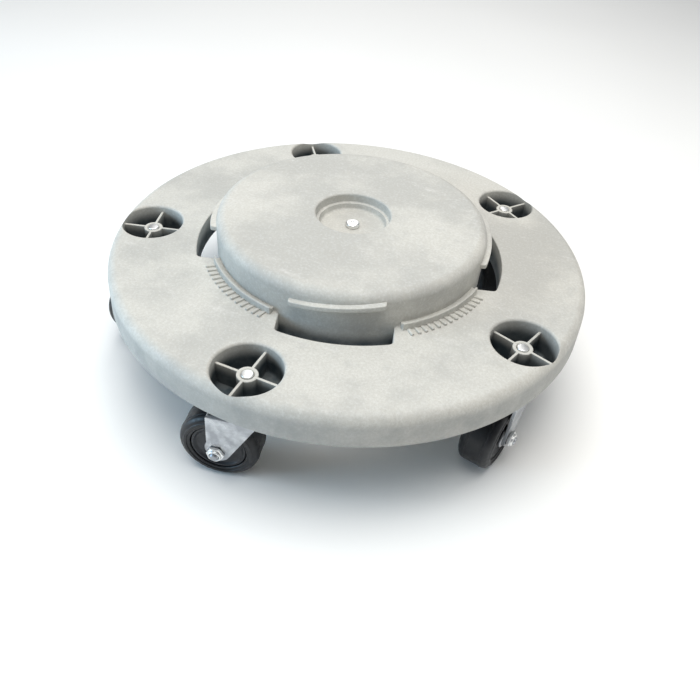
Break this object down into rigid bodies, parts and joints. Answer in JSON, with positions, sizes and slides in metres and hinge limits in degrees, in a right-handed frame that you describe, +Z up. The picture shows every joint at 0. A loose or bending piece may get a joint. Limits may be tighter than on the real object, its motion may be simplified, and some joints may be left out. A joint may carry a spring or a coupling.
{
  "type": "wash bucket dolly",
  "caption": "Round moulded dolly for a wash bucket: raised twist-lock hub on a low deck, carried on swivel casters.",
  "frame": {"origin": "on the floor under the middle of the round deck", "axes": "+Z up through the hub; -Y runs through the front caster's stem; the four windows lie 18, 108, 198 and 288 degrees about +Z from +X"},
  "size_m": [0.464, 0.464, 0.161],
  "materials": {
    "deck_plastic": "matte",
    "zinc_steel": "satin",
    "bright_steel": "satin",
    "sleeve_steel": "satin",
    "tyre_rubber": "matte",
    "core_plastic": "satin"
  },
  "bodies": {
    "root": {"deck": "deck_plastic", "centre_bolt": "bright_steel", "centre_washer": "zinc_steel", "centre_nut": "zinc_steel", "caster_1_stem": "bright_steel", "caster_1_top_race": "zinc_steel", "caster_1_ball_ring": "bright_steel", "caster_2_stem": "bright_steel", "caster_2_top_race": "zinc_steel", "caster_2_ball_ring": "bright_steel", "caster_3_stem": "bright_steel", "caster_3_top_race": "zinc_steel", "caster_3_ball_ring": "bright_steel", "caster_4_stem": "bright_steel", "caster_4_top_race": "zinc_steel", "caster_4_ball_ring": "bright_steel", "caster_5_stem": "bright_steel", "caster_5_top_race": "zinc_steel", "caster_5_ball_ring": "bright_steel"},
    "caster_1_yoke": {"caster_1_fork": "zinc_steel", "caster_1_axle_bolt": "zinc_steel", "caster_1_axle_nut": "bright_steel", "caster_1_axle_sleeve": "sleeve_steel", "caster_1_guard_left": "sleeve_steel", "caster_1_guard_right": "sleeve_steel"},
    "caster_1_wheel": {"caster_1_wheel_core": "core_plastic", "caster_1_tyre": "tyre_rubber"},
    "caster_2_yoke": {"caster_2_fork": "zinc_steel", "caster_2_axle_bolt": "zinc_steel", "caster_2_axle_nut": "bright_steel", "caster_2_axle_sleeve": "sleeve_steel", "caster_2_guard_left": "sleeve_steel", "caster_2_guard_right": "sleeve_steel"},
    "caster_2_wheel": {"caster_2_wheel_core": "core_plastic", "caster_2_tyre": "tyre_rubber"},
    "caster_3_yoke": {"caster_3_fork": "zinc_steel", "caster_3_axle_bolt": "zinc_steel", "caster_3_axle_nut": "bright_steel", "caster_3_axle_sleeve": "sleeve_steel", "caster_3_guard_left": "sleeve_steel", "caster_3_guard_right": "sleeve_steel"},
    "caster_3_wheel": {"caster_3_wheel_core": "core_plastic", "caster_3_tyre": "tyre_rubber"},
    "caster_4_yoke": {"caster_4_fork": "zinc_steel", "caster_4_axle_bolt": "zinc_steel", "caster_4_axle_nut": "bright_steel", "caster_4_axle_sleeve": "sleeve_steel", "caster_4_guard_left": "sleeve_steel", "caster_4_guard_right": "sleeve_steel"},
    "caster_4_wheel": {"caster_4_wheel_core": "core_plastic", "caster_4_tyre": "tyre_rubber"},
    "caster_5_yoke": {"caster_5_fork": "zinc_steel", "caster_5_axle_bolt": "zinc_steel", "caster_5_axle_nut": "bright_steel", "caster_5_axle_sleeve": "sleeve_steel", "caster_5_guard_left": "sleeve_steel", "caster_5_guard_right": "sleeve_steel"},
    "caster_5_wheel": {"caster_5_wheel_core": "core_plastic", "caster_5_tyre": "tyre_rubber"}
  },
  "joints": [
    {"name": "caster_1_swivel", "type": "hinge", "parent": "root", "child": "caster_1_yoke", "pos_m": [-0.19021, -0.0618, 0.0835], "axis": [0, 0, 1], "continuous": true},
    {"name": "caster_1_roll", "type": "hinge", "parent": "caster_1_yoke", "child": "caster_1_wheel", "pos_m": [-0.19746, -0.08552, 0.036], "axis": [0.9563, -0.2924, 0], "continuous": true},
    {"name": "caster_2_swivel", "type": "hinge", "parent": "root", "child": "caster_2_yoke", "pos_m": [0, -0.2, 0.0835], "axis": [0, 0, 1], "continuous": true},
    {"name": "caster_2_roll", "type": "hinge", "parent": "caster_2_yoke", "child": "caster_2_wheel", "pos_m": [-0.02422, -0.20533, 0.036], "axis": [0.2147, -0.9767, 0], "continuous": true},
    {"name": "caster_3_swivel", "type": "hinge", "parent": "root", "child": "caster_3_yoke", "pos_m": [0.19021, -0.0618, 0.0835], "axis": [0, 0, 1], "continuous": true},
    {"name": "caster_3_roll", "type": "hinge", "parent": "caster_3_yoke", "child": "caster_3_wheel", "pos_m": [0.18535, -0.08612, 0.036], "axis": [0.9806, -0.1959, 0], "continuous": true},
    {"name": "caster_4_swivel", "type": "hinge", "parent": "root", "child": "caster_4_yoke", "pos_m": [0.11756, 0.1618, 0.0835], "axis": [0, 0, 1], "continuous": true},
    {"name": "caster_4_roll", "type": "hinge", "parent": "caster_4_yoke", "child": "caster_4_wheel", "pos_m": [0.12398, 0.13785, 0.036], "axis": [0.9659, 0.2588, 0], "continuous": true},
    {"name": "caster_5_swivel", "type": "hinge", "parent": "root", "child": "caster_5_yoke", "pos_m": [-0.11756, 0.1618, 0.0835], "axis": [0, 0, 1], "continuous": true},
    {"name": "caster_5_roll", "type": "hinge", "parent": "caster_5_yoke", "child": "caster_5_wheel", "pos_m": [-0.13945, 0.15016, 0.036], "axis": [0.4695, -0.8829, 0], "continuous": true}
  ]
}
